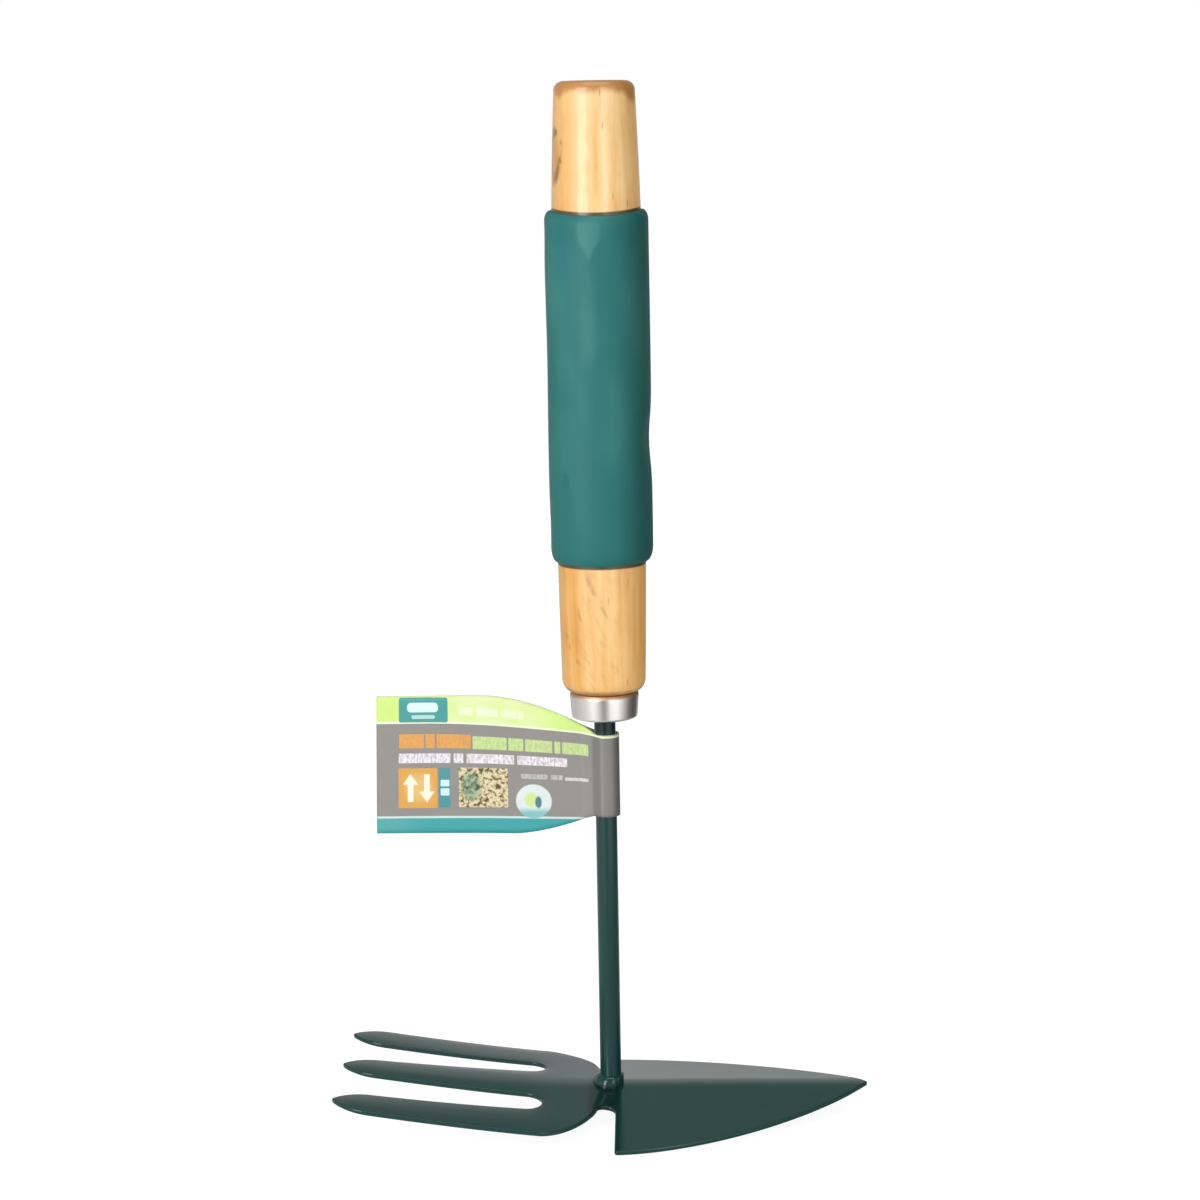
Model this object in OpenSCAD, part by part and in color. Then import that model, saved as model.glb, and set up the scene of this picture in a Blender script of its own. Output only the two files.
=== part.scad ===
// Hand fork and hoe: a folded sheet head with three tines and a pointed hoe blade,
// welded to a steel rod that runs through a ferrule into a turned handle with a foam grip.
// A card tag is wrapped round the rod and turns on it.
// The rod stands on the Z axis. Z = 0 is the lowest level of the hoe's heel.
// The fork points to -X and the hoe to +X.

/* [Head sheet] */
// Thickness of the pressed sheet
sheet_t = 1.2; // [0.8:0.1:2.5]
// Radius on the outer corners of the sheet's outline
corner_r = 0.9; // [0.4:0.1:1.4]
// Radius in the inner corners of the sheet's outline
inner_r = 1.5; // [0.6:0.1:1.8]
// Half width of the neck between fork and hoe
neck_half_w = 15.4; // [11:0.2:20]
// Distance from the rod axis to the fork's side of the notch in the neck
notch_back = 3.4; // [2.5:0.1:5]
// Length of the neck over which the slope eases from the hoe's to the fork's
ease_l = 7; // [4:0.5:12]

/* [Hoe blade] */
// Distance from the rod axis to the hoe's point
hoe_reach = 73.4; // [60:0.2:90]
// Distance from the rod axis to the hoe's square heel
heel_x = 1.5; // [0.5:0.1:3]
// Half width of the hoe at its heel
hoe_half_w = 37.4; // [30:0.2:46]
// Slope of each half of the hoe, in degrees
hoe_fold = 10.4; // [4:0.2:16]
// Drop of the fold line at the hoe's point
hoe_droop = 0.4; // [0:0.1:3]
// Fullness of the blade's curved edge, larger is fuller
hoe_fullness = 1.7; // [1.3:0.05:2.4]

/* [Fork] */
// Distance from the rod axis to the tine tips
fork_reach = 76.2; // [60:0.2:92]
// Half width over the outer tines
fork_half_w = 33.5; // [28:0.2:42]
// Distance from the rod axis to the closed ends of the gaps
gap_end = 19.2; // [16:0.2:24]
// Width of each gap at its closed end
gap_w = 9.8; // [7:0.2:12]
// Width of the middle tine at its root
mid_root_w = 18.6; // [14:0.2:23]
// Width of every tine where its pointed end starts
tine_w = 12.5; // [9:0.1:15]
// Length of the pointed end of a tine
tine_nose = 10.5; // [6:0.1:16]
// Rise of the tine tips above the fold line at the rod
tine_rise = 5.5; // [0:0.1:9]
// Slope of the fork just past the neck, as a share of the hoe's slope
fork_ease = 0.58; // [0.2:0.01:0.95]
// Slope of the fork at the tips, as a share of the hoe's slope
tip_ease = 0.1; // [0:0.01:0.4]

/* [Rod] */
// Diameter of the rod
rod_d = 6; // [5:0.1:8]
// Length of rod that shows between the fold line and the ferrule
rod_l = 107; // [85:1:130]
// Length of rod inside the ferrule and the handle
tang_l = 62; // [45:1:80]
// Length of the tang's pointed end
tang_point = 7; // [4:1:12]

/* [Weld] */
// Height of the weld bead up the rod
bead_h = 2.6; // [1.5:0.1:4]
// Width of the weld bead around the rod
bead_w = 1.7; // [1:0.1:2.5]

/* [Ferrule] */
// Outer diameter of the ferrule
ferrule_d = 18.4; // [15:0.1:20]
// Height of the ferrule
ferrule_h = 6.8; // [5:0.1:12]
// Thickness of the ferrule's wall and floor
ferrule_t = 0.8; // [0.5:0.1:1.2]
// Radius on the ferrule's lower edge
ferrule_r = 0.7; // [0.3:0.1:1]

/* [Handle] */
// Length of the handle from its shoulder to its butt
handle_l = 168.2; // [135:0.2:205]
// Diameter of the handle at its belly
belly_d = 25.3; // [22:0.1:29]
// Height of the belly above the shoulder
belly_z = 95; // [78:1:115]
// Diameter of the handle just above the rounded shoulder
shoulder_d = 23.2; // [19:0.1:27]
// Diameter of the handle at its butt
butt_d = 21.8; // [18:0.1:26]
// Height of the shoulder's rounding
shoulder_h = 3.8; // [2.5:0.1:6]
// Radius round the butt's edge
butt_r = 2.6; // [1.5:0.1:4]

/* [Grip] */
// Length of the foam grip
grip_l = 96.8; // [78:0.2:117]
// Distance from the handle's shoulder to the grip
grip_z = 37; // [28:0.5:45]
// Thickness of the foam over the handle's belly
grip_t = 1.5; // [1.3:0.1:5]
// Radius on the grip's rims
grip_r = 1.8; // [0.8:0.1:2.4]

/* [Tag] */
// Thickness of one leaf of card
card_t = 0.35; // [0.25:0.05:0.6]
// Distance from the rod axis to the tag's free edge
tag_reach = 65.3; // [50:0.2:80]
// Height of the tag at its free edge
tag_h = 39.8; // [30:0.2:48]
// Height of the wrap on the rod
wrap_h = 22.8; // [16:0.2:27]
// Distance from the ferrule down to the wrap's upper edge
wrap_gap = 5.5; // [3:0.5:20]
// Distance from the tag's lower edge up to the wrap's lower edge
wrap_drop = 5.8; // [2:0.2:8]
// Distance from the rod axis at which the tag's upper edge becomes straight
upper_x = 35; // [25:0.5:45]
// Distance from the rod axis at which the tag's lower edge becomes straight
lower_x = 26; // [18:0.5:34]
// Distance from the rod axis at which the two leaves meet
leaf_meet = 7; // [5.5:0.1:10]
// Angle by which the tag stands behind the fork's direction, in degrees
tag_turn = 5; // [-20:1:20]

/* [Fits] */
// Radial gap between the rod and the holes it passes through
rod_fit = 0.05; // [0.02:0.01:0.1]
// Gap between seated faces
seat = 0.02; // [0.01:0.01:0.1]
// Radial gap between the grip's bore and the handle
grip_fit = 0.1; // [0.02:0.02:0.3]

/* [Hidden] */
$fn = 96;
// Steps along a curved edge and along the handle, and the length that a cut runs past its piece
curve_steps = 20;
barrel_steps = 40;
over = 1;
// Spacing of the folded sheet's stations and its margin around the outline
sheet_step = 3;
sheet_margin = 3;
// Distance from the rod axis at which the tines start to rise
rise_x = 12;
// Powers of the curves: tine rise, blade edge, shoulder of the fork, tine nose, tag's two edges
rise_power = 1.15;
blade_power = 0.85;
fork_shoulder_power = 1.6;
nose_power = 0.8;
upper_power = 1.9;
lower_power = 1.6;

rod_r = rod_d / 2;
hole_r = rod_r + rod_fit;
fold_z = hoe_half_w * tan(hoe_fold) + sheet_t;
ferrule_z = fold_z + rod_l;
shoulder_z = ferrule_z + ferrule_h;
nose_r = ferrule_d / 2 - ferrule_t - seat;
nose_l = ferrule_h - ferrule_t - seat;
wrap_z = ferrule_z - wrap_gap - wrap_h;
grip_top = grip_z + grip_l;

// Where the fork's own slope starts
fork_x = ease_l - heel_x;
nose_x = -(fork_reach - tine_nose);
gap_x = -(gap_end + gap_w / 2);
gap_y = mid_root_w / 2 + gap_w / 2;
outer_root_w = fork_half_w - gap_y - gap_w / 2;

function clamp01(t) = max(0, min(1, t));

// Height of the fold line over the ground at x
function fold_line(x) =
    x < 0
    ? fold_z + tine_rise * pow(clamp01((-x - rise_x) / (fork_reach - rise_x)), rise_power)
    : fold_z - hoe_droop * pow(clamp01((x - heel_x) / (hoe_reach - heel_x)), 2);

// Slope of the sheet away from the fold line at x, in degrees
function fold_angle(x) =
    hoe_fold * lookup(x, [[-fork_reach, tip_ease], [-fork_x, fork_ease], [heel_x, 1]]);

// Half width of the hoe at x
function hoe_half(x) =
    hoe_half_w * pow(1 - pow(clamp01((x - heel_x) / (hoe_reach - heel_x)), hoe_fullness), blade_power);

// Half width of the fork's shoulder at x, from the notch to the outer tine
function shoulder_half(x) =
    let (u = clamp01((x + gap_end) / (gap_end - notch_back)), n = fork_shoulder_power)
    neck_half_w + (fork_half_w - neck_half_w) * pow(1 - pow(u, n), 1 / n);

// Share of its width that a tine has left at x
function nose_share(x) =
    pow(1 - pow(clamp01((nose_x - x) / tine_nose), 2), nose_power);

// Radius of the bare handle at height z over its shoulder
function barrel_r(z) =
    z < belly_z
    ? belly_d / 2 - (belly_d - shoulder_d) / 2 * pow((belly_z - z) / belly_z, 2)
    : belly_d / 2 - (belly_d - butt_d) / 2 * pow((z - belly_z) / (handle_l - belly_z), 2);

// Even steps from a up to b, which the last step leaves out
function run(a, b, count) = [for (i = [0 : count - 1]) a + (b - a) * i / count];

// Points of an elliptical arc about c, from angle a to angle b
function arc(c, rx, ry, a, b, count = 10) =
    [for (t = concat(run(a, b, count), [b])) c + [rx * cos(t), ry * sin(t)]];

// A line of points and its mirror image across the X axis, as one outline
function both_sides(line) =
    concat(line, [for (i = [len(line) - 1 : -1 : 0]) [line[i][0], -line[i][1]]]);

// Stations along the sheet between two bends
function stations(a, b) = run(a, b, ceil((b - a) / sheet_step));

// The folded sheet, wider and longer than the head, before it is cut to its outline
module folded_sheet(thick = sheet_t) {
    half = max(hoe_half_w, fork_half_w) + sheet_margin;
    x0 = -fork_reach - sheet_margin;
    x1 = hoe_reach + sheet_margin;
    xs = concat(
        stations(x0, -fork_x), stations(-fork_x, heel_x), stations(heel_x, x1), [x1]
    );
    rows = [for (x = xs) each [for (dz = [0, -thick]) each
        [for (y = [-half, 0, half]) [x, y, fold_line(x) - abs(y) * tan(fold_angle(x)) + dz]]]];
    last = 6 * (len(xs) - 1);
    spans = [0 : 6 : last - 6];
    top = [for (i = spans) each [for (j = [i, i + 1]) [j, j + 1, j + 7, j + 6]]];
    under = [for (i = spans) each [for (j = [i + 3, i + 4]) [j, j + 6, j + 7, j + 1]]];
    front = [for (i = spans) [i, i + 6, i + 9, i + 3]];
    rear = [for (i = spans) [i + 2, i + 5, i + 11, i + 8]];
    first_end = [for (j = [0, 1]) [j, j + 3, j + 4, j + 1]];
    last_end = [for (j = [last, last + 1]) [j, j + 1, j + 4, j + 3]];
    polyhedron(rows, concat(top, under, front, rear, first_end, last_end), convexity = 4);
}

// One tine in plan: centre line from y0 at the root to y1 at the nose
module tine_plan(y0, root_w, y1) {
    nose = [for (t = run(0, 90, curve_steps)) let (x = nose_x - tine_nose * sin(t))
        [x, tine_w / 2 * nose_share(x)]];
    polygon(concat(
        [[gap_x, y0 + root_w / 2]],
        [for (p = nose) [p[0], y1 + p[1]]],
        [[-fork_reach, y1]],
        [for (i = [len(nose) - 1 : -1 : 0]) [nose[i][0], y1 - nose[i][1]]],
        [[gap_x, y0 - root_w / 2]]
    ));
}

// The fork's plate behind the tines, with the round gap ends cut out
module fork_root_plan() {
    shoulder = [for (t = run(0, 90, curve_steps)) let (x = (gap_end - notch_back) * sin(t) - gap_end)
        [x, shoulder_half(x)]];
    difference() {
        polygon(both_sides(concat([[gap_x, fork_half_w]], shoulder, [[-notch_back, neck_half_w]])));
        for (s = [-1, 1]) translate([gap_x, s * gap_y]) circle(d = gap_w);
    }
}

// The pointed hoe blade in plan
module hoe_plan() {
    edge = [for (t = run(0, 90, 2 * curve_steps)) let (x = hoe_reach - (hoe_reach - heel_x) * cos(t))
        [x, hoe_half(x)]];
    polygon(both_sides(concat(edge, [[hoe_reach, 0]])));
}

module head_plan() {
    offset(r = -inner_r) offset(delta = inner_r)
    offset(r = corner_r) offset(delta = -corner_r)
    union() {
        tine_plan(0, mid_root_w, 0);
        for (s = [-1, 1])
            tine_plan(s * (fork_half_w - outer_root_w / 2), outer_root_w, s * (fork_half_w - tine_w / 2));
        fork_root_plan();
        translate([-notch_back - over, -neck_half_w])
            square([heel_x + notch_back + 2 * over, 2 * neck_half_w]);
        hoe_plan();
    }
}

module fork_hoe_head() {
    color("#2f4c49")
    intersection() {
        folded_sheet();
        translate([0, 0, -over]) linear_extrude(fold_z + tine_rise + 2 * over) head_plan($fn = 48);
    }
}

// Round weld: a convex bead from the rod down to the sheet
module weld_bead() {
    foot = (rod_r + bead_w) * tan(hoe_fold) + seat;
    color("#27403e")
    difference() {
        translate([0, 0, fold_z]) rotate_extrude()
            polygon(concat(
                [[hole_r, -foot], [rod_r + bead_w, -foot]],
                arc([hole_r, 0], bead_w - rod_fit, bead_h, 0, 90)
            ));
        translate([0, 0, seat]) folded_sheet(2 * foot + sheet_t);
    }
}

module rod() {
    color("#2c4a46")
    translate([0, 0, fold_z + seat]) {
        cylinder(r = rod_r, h = rod_l + tang_l - tang_point - seat);
        translate([0, 0, rod_l + tang_l - tang_point - seat])
            cylinder(r1 = rod_r, r2 = rod_r / 4, h = tang_point);
    }
}

// Pressed steel cup on the handle's nose, with a hole in its floor for the rod
module ferrule() {
    r = ferrule_d / 2;
    color("silver")
    translate([0, 0, ferrule_z])
    rotate_extrude()
        polygon(concat(
            [[hole_r, 0]],
            arc([r - ferrule_r, ferrule_r], ferrule_r, ferrule_r, -90, 0, 6),
            [[r, ferrule_h], [r - ferrule_t, ferrule_h], [r - ferrule_t, ferrule_t], [hole_r, ferrule_t]]
        ));
}

module handle() {
    shoulder_r = ferrule_d / 2;
    barrel_r0 = barrel_r(shoulder_h);
    butt_z = handle_l - butt_r;
    hole_top = tang_l - ferrule_h + rod_r;
    color("burlywood")
    translate([0, 0, shoulder_z])
    difference() {
        rotate_extrude()
            polygon(concat(
                [[0, -nose_l], [nose_r, -nose_l], [nose_r, seat]],
                arc([shoulder_r, shoulder_h], barrel_r0 - shoulder_r, shoulder_h - seat, -90, 0),
                [for (z = run(shoulder_h, butt_z, barrel_steps)) if (z > shoulder_h) [barrel_r(z), z]],
                arc([barrel_r(butt_z) - butt_r, butt_z], butt_r, butt_r, 0, 90),
                [[0, handle_l]]
            ));
        translate([0, 0, -nose_l - over]) cylinder(r = hole_r, h = nose_l + over + hole_top);
    }
}

module foam_grip() {
    grip_r0 = barrel_r(belly_z) + grip_fit + grip_t;
    bore = [for (z = concat(run(grip_z, grip_top, barrel_steps), [grip_top])) [barrel_r(z) + grip_fit, z]];
    color("#2f7a74")
    translate([0, 0, shoulder_z])
    difference() {
        rotate_extrude()
            polygon(concat(
                [[0, grip_z]],
                arc([grip_r0 - grip_r, grip_z + grip_r], grip_r, grip_r, -90, 0),
                arc([grip_r0 - grip_r, grip_top - grip_r], grip_r, grip_r, 0, 90),
                [[0, grip_top]]
            ));
        rotate_extrude()
            polygon(concat(
                [[0, grip_z - over], [bore[0][0], grip_z - over]],
                bore,
                [[bore[barrel_steps][0], grip_top + over], [0, grip_top + over]]
            ));
    }
}

// The wrap in plan: a ring round the rod whose two leaves meet in the flag
module tag_section() {
    wrap_r = hole_r + card_t;
    spread = asin(wrap_r / leaf_meet);
    join_x = card_t / tan(spread) - leaf_meet;
    difference() {
        polygon(concat(
            [[-tag_reach, -card_t], [join_x, -card_t]],
            arc([0, 0], wrap_r, wrap_r, -90 - spread, 90 + spread, 40),
            [[join_x, card_t], [-tag_reach, card_t]]
        ));
        circle(r = hole_r);
    }
}

// The tag seen from its side: full height at the free edge, curving in to the wrap
module tag_outline() {
    low = -wrap_drop;
    high = low + tag_h;
    right = hole_r + card_t + over;
    left = -tag_reach - over;
    function bow(t, power) = 1 - pow(1 - t, power);
    polygon(concat(
        [[right, 0]],
        [for (t = run(0, 1, curve_steps)) [-hole_r - (lower_x - hole_r) * t, low * bow(t, lower_power)]],
        [[-lower_x, low], [left, low], [left, high], [-upper_x, high]],
        [for (t = run(1, 0, curve_steps)) if (t < 1)
            [-upper_x * t, wrap_h + (high - wrap_h) * bow(t, upper_power)]],
        [[0, wrap_h], [right, wrap_h]]
    ));
}

module hang_tag() {
    color("#8f8f8a")
    rotate([0, 0, -tag_turn])
    intersection() {
        translate([0, 0, wrap_z - wrap_drop - over]) linear_extrude(tag_h + 2 * over) tag_section();
        translate([0, 0, wrap_z]) rotate([90, 0, 0])
            linear_extrude(4 * rod_d, center = true) tag_outline();
    }
}

handle();
foam_grip();
ferrule();
rod();
weld_bead();
fork_hoe_head();
hang_tag();
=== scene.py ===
from math import atan2, ceil, cos, exp, hypot, pi, radians, sin, sqrt, tan

import bmesh
import bpy
from mathutils import Euler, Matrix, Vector
from mathutils.geometry import delaunay_2d_cdt
from mathutils.kdtree import KDTree


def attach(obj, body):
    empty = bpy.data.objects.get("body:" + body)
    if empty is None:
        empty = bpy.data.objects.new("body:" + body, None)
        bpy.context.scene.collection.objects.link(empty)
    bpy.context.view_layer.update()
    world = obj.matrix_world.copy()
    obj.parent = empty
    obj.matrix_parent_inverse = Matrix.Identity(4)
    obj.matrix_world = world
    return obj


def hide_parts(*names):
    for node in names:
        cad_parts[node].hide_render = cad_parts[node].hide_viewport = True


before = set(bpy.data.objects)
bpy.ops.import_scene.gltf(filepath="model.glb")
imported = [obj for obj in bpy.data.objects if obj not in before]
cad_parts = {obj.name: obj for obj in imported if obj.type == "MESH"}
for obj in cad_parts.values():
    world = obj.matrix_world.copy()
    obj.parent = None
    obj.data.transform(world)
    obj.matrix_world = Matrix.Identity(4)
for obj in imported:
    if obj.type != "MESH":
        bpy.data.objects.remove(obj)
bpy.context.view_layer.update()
scene = bpy.context.scene
mm = 0.001


# Small helpers shared by the pieces

def clamp01(t):
    return max(0.0, min(1.0, t))


def spread(low, high, count):
    return [low + (high - low) * i / count for i in range(count + 1)]


def arcPoints(centre, radius, start, end, count):
    # Points on a circle from one angle to another, in degrees
    return [
        (centre[0] + radius * cos(radians(a)), centre[1] + radius * sin(radians(a)))
        for a in spread(start, end, count)
    ]


def srgb(r, g, b):
    # A colour picked as 0-255 screen values, as the linear colour that shaders take
    def linear(c):
        c = c / 255
        return c / 12.92 if c <= 0.04045 else ((c + 0.055) / 1.055) ** 2.4
    return (linear(r), linear(g), linear(b), 1.0)


class Wire:
    # A number or vector inside a node tree, so that rules can be written as plain sums
    def __init__(self, tree, socket):
        self.tree = tree
        self.socket = socket

    def math(self, operation, *others):
        node = self.tree.nodes.new("ShaderNodeMath")
        node.operation = operation
        for slot, value in zip(node.inputs, (self, *others)):
            feed(self.tree, slot, value)
        return Wire(self.tree, node.outputs[0])

    def __add__(self, other):
        return self.math("ADD", other)

    def __sub__(self, other):
        return self.math("SUBTRACT", other)

    def __mul__(self, other):
        return self.math("MULTIPLY", other)

    def __truediv__(self, other):
        return self.math("DIVIDE", other)

    def __pow__(self, other):
        return self.math("POWER", other)

    def clamp(self):
        return self.math("MAXIMUM", 0.0).math("MINIMUM", 1.0)

    def size(self):
        return self.math("ABSOLUTE")

    def fall(self, low, high):
        # Smooth change from one down to zero between two limits
        return self.step(low, high, 1.0, 0.0)

    def step(self, low, high, goal0=0.0, goal1=1.0):
        # Smooth change from one value to another between two limits
        node = self.tree.nodes.new("ShaderNodeMapRange")
        node.interpolation_type = "SMOOTHSTEP"
        for name, value in (("Value", self), ("From Min", low), ("From Max", high),
                            ("To Min", goal0), ("To Max", goal1)):
            feed(self.tree, node.inputs[name], value)
        return Wire(self.tree, node.outputs["Result"])


def feed(tree, slot, value):
    if isinstance(value, Wire):
        tree.links.new(value.socket, slot)
    else:
        slot.default_value = value


def node(tree, kind, settings=None, **inputs):
    # Adds a node, sets its options, feeds its inputs by name and returns its first output
    made = tree.nodes.new(kind)
    for name, value in (settings or {}).items():
        setattr(made, name, value)
    for name, value in inputs.items():
        feed(tree, made.inputs[name.replace("_", " ")], value)
    return Wire(tree, made.outputs[0])


def apart(tree, vector):
    made = tree.nodes.new("ShaderNodeSeparateXYZ")
    feed(tree, made.inputs[0], vector)
    return [Wire(tree, made.outputs[i]) for i in range(3)]


def together(tree, x=0.0, y=0.0, z=0.0):
    return node(tree, "ShaderNodeCombineXYZ", X=x, Y=y, Z=z)


def newTree(name, kind, inputs, outputs):
    # An empty node group with named sockets; returns it with its inputs as wires
    tree = bpy.data.node_groups.new(name, kind)
    for label, socketType, value in inputs:
        socket = tree.interface.new_socket(label, in_out="INPUT", socket_type=socketType)
        if value is not None:
            socket.default_value = value
    for label, socketType in outputs:
        tree.interface.new_socket(label, in_out="OUTPUT", socket_type=socketType)
    entry = tree.nodes.new("NodeGroupInput")
    wires = {s.name: Wire(tree, s) for s in entry.outputs if s.name}
    return tree, wires


def closeTree(tree, **outputs):
    leave = tree.nodes.new("NodeGroupOutput")
    for name, value in outputs.items():
        feed(tree, leave.inputs[name.replace("_", " ")], value)


def closeShape(tree, geometry, finish):
    # Ends a geometry tree: smooth faces, real mesh, one material
    smooth = node(tree, "GeometryNodeSetShadeSmooth", Geometry=geometry)
    real = node(tree, "GeometryNodeRealizeInstances", Geometry=smooth)
    final = node(tree, "GeometryNodeSetMaterial", Geometry=real, Material=finish)
    closeTree(tree, Geometry=final)
    return tree


def newObject(name, mesh):
    made = bpy.data.objects.new(name, mesh)
    scene.collection.objects.link(made)
    return made


def grow(thing, tree, **values):
    # Runs a geometry tree on an object with the given inputs and keeps the plain mesh
    change = thing.modifiers.new(tree.name, "NODES")
    change.node_group = tree
    sockets = {s.name: s.identifier for s in tree.interface.items_tree if s.in_out == "INPUT"}
    for name, value in values.items():
        change[sockets[name.replace("_", " ")]] = value
    return bake(thing)


def bake(thing):
    # Turns an object with its modifiers into one plain mesh
    graph = bpy.context.evaluated_depsgraph_get()
    mesh = bpy.data.meshes.new_from_object(
        thing.evaluated_get(graph), preserve_all_data_layers=True, depsgraph=graph)
    thing.modifiers.clear()
    old = thing.data
    thing.data = mesh
    bpy.data.meshes.remove(old)
    mesh.name = thing.name
    return thing


def faceOut(thing):
    # Turns the faces round if the closed mesh has its inside out
    shape = bmesh.new()
    shape.from_mesh(thing.data)
    if shape.calc_volume(signed=True) < 0:
        bmesh.ops.reverse_faces(shape, faces=shape.faces)
    shape.to_mesh(thing.data)
    shape.free()


# Sizes of the tool, in millimetres and degrees, as the frame has them

head = {
    "thickness": 1.2,
    "cornerRadius": 0.9,
    "notchRadius": 2.2,
    "edgeRadius": 0.32,
    "neckHalf": 14.8,
    "notchBack": 3.4,
    "hoeReach": 73.4,
    "heel": 1.5,
    "hoeHalf": 37.4,
    "hoeFold": 10.4,
    "hoeDroop": 0.4,
    "bladeFullness": 1.7,
    "bladePower": 0.85,
    "forkReach": 76.9,
    "forkHalf": 33.5,
    "gapEnd": 19.2,
    "gapWidth": 9.8,
    "middleRoot": 18.6,
    "tineWidth": 12.5,
    "tineNose": 10.5,
    "nosePower": 0.8,
    "shoulderPower": 1.6,
    "tineRise": 6.0,
    "risePower": 1.36,
    "riseStart": 12.0,
    "forkEase": 0.58,
    "tipEase": 0.1,
    "easeLength": 7.0,
    "bendHalf": 4.5,
}
rod = {"radius": 3.0, "shown": 107.0, "tang": 62.0, "point": 7.0, "collar": 6.8}
foldHeight = head["hoeHalf"] * tan(radians(head["hoeFold"])) + head["thickness"]
ferruleHeight = foldHeight + rod["shown"]
shoulderHeight = ferruleHeight + rod["collar"]  # the frame's ferrule is this tall


# Turned pieces: a profile of radius and height swept round the Z axis

def turningTree():
    tree, given = newTree(
        "turnProfile", "GeometryNodeTree",
        [("Geometry", "NodeSocketGeometry", None), ("Points", "NodeSocketInt", 2),
         ("Segments", "NodeSocketInt", 64), ("Finish", "NodeSocketMaterial", None)],
        [("Geometry", "NodeSocketGeometry")])
    ring = node(tree, "FunctionNodeIntegerMath", settings={"operation": "ADD"})
    feed(tree, ring.socket.node.inputs[0], given["Segments"])
    feed(tree, ring.socket.node.inputs[1], 1)
    grid = node(tree, "GeometryNodeMeshGrid", Size_X=1.0, Size_Y=1.0,
                Vertices_X=given["Points"], Vertices_Y=ring)
    index = node(tree, "GeometryNodeInputIndex")
    row = (index / ring).math("FLOOR")
    turn = (index - row * ring) / given["Segments"] * (2 * pi)
    sample = tree.nodes.new("GeometryNodeSampleIndex")
    sample.data_type = "FLOAT_VECTOR"
    feed(tree, sample.inputs["Geometry"], given["Geometry"])
    vectorSlot = [s for s in sample.inputs if s.name == "Value" and s.enabled][0]
    feed(tree, vectorSlot, node(tree, "GeometryNodeInputPosition"))
    feed(tree, sample.inputs["Index"], row)
    out = [s for s in sample.outputs if s.enabled][0]
    radius, _, height = apart(tree, Wire(tree, out))
    place = together(tree, radius * turn.math("COSINE"), radius * turn.math("SINE"), height)
    moved = node(tree, "GeometryNodeSetPosition", Geometry=grid, Position=place)
    joined = node(tree, "GeometryNodeMergeByDistance", Geometry=moved, Distance=2e-6)
    return closeShape(tree, joined, given["Finish"])


turnProfile = turningTree()


def turned(name, profile, finish, segments=128):
    # profile is a list of (radius, height) in millimetres, from one pole or edge round to the other
    mesh = bpy.data.meshes.new(name)
    mesh.from_pydata([(r * mm, 0, z * mm) for r, z in profile],
                     [(i, i + 1) for i in range(len(profile) - 1)], [])
    made = newObject(name, mesh)
    grow(made, turnProfile, Points=len(profile), Segments=segments, Finish=finish)
    faceOut(made)
    return made


def finishPiece(made, body, slot, *nodes):
    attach(made, body)
    if nodes:
        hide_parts(*nodes)
    print("piece", made.name, len(made.data.polygons), "faces")


# Finishes

def newFinish(name, **values):
    made = bpy.data.materials.new(name)
    made.use_nodes = True
    tree = made.node_tree
    shader = tree.nodes["Principled BSDF"]
    for label, value in values.items():
        shader.inputs[label.replace("_", " ")].default_value = value
    coords = tree.nodes.new("ShaderNodeTexCoord")
    return made, tree, shader, Wire(tree, coords.outputs["Object"])


def noise(tree, vector, scale, detail=2.0, **more):
    return node(tree, "ShaderNodeTexNoise", Vector=vector, Scale=scale, Detail=detail, **more)


def vectorMath(tree, operation, first, second):
    made = tree.nodes.new("ShaderNodeVectorMath")
    made.operation = operation
    feed(tree, made.inputs[0], first)
    feed(tree, made.inputs["Scale" if operation == "SCALE" else 1], second)
    return Wire(tree, made.outputs[0])


def stretch(tree, vector, x, y, z):
    return vectorMath(tree, "MULTIPLY", vector, (x, y, z))


def scaled(tree, vector, factor):
    return vectorMath(tree, "SCALE", vector, factor)


def blended(tree, factor, first, second):
    made = tree.nodes.new("ShaderNodeMix")
    made.data_type = "RGBA"
    feed(tree, made.inputs[0], factor)
    feed(tree, made.inputs[6], first)
    feed(tree, made.inputs[7], second)
    return Wire(tree, made.outputs[2])


def ramp(tree, factor, stops):
    made = tree.nodes.new("ShaderNodeValToRGB")
    feed(tree, made.inputs[0], factor)
    band = made.color_ramp
    while len(band.elements) < len(stops):
        band.elements.new(0.5)
    for element, (place, colour) in zip(band.elements, stops):
        element.position = place
        element.color = colour
    return Wire(tree, made.outputs[0])


def bumped(tree, height, strength, distance):
    return node(tree, "ShaderNodeBump", Height=height, Strength=strength, Distance=distance)


def useGroup(tree, group, **inputs):
    return node(tree, "ShaderNodeGroup", {"node_tree": group}, **inputs)


def mottleGroup():
    # Slow unevenness of a colour, as a factor around one
    tree, given = newTree(
        "mottle", "ShaderNodeTree",
        [("Vector", "NodeSocketVector", None), ("Size", "NodeSocketFloat", 100.0),
         ("Amount", "NodeSocketFloat", 0.1)],
        [("Factor", "NodeSocketFloat")])
    cloud = noise(tree, given["Vector"], given["Size"], 3.0)
    closeTree(tree, Factor=(cloud - 0.5) * given["Amount"] * 2.0 + 1.0)
    return tree


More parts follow.
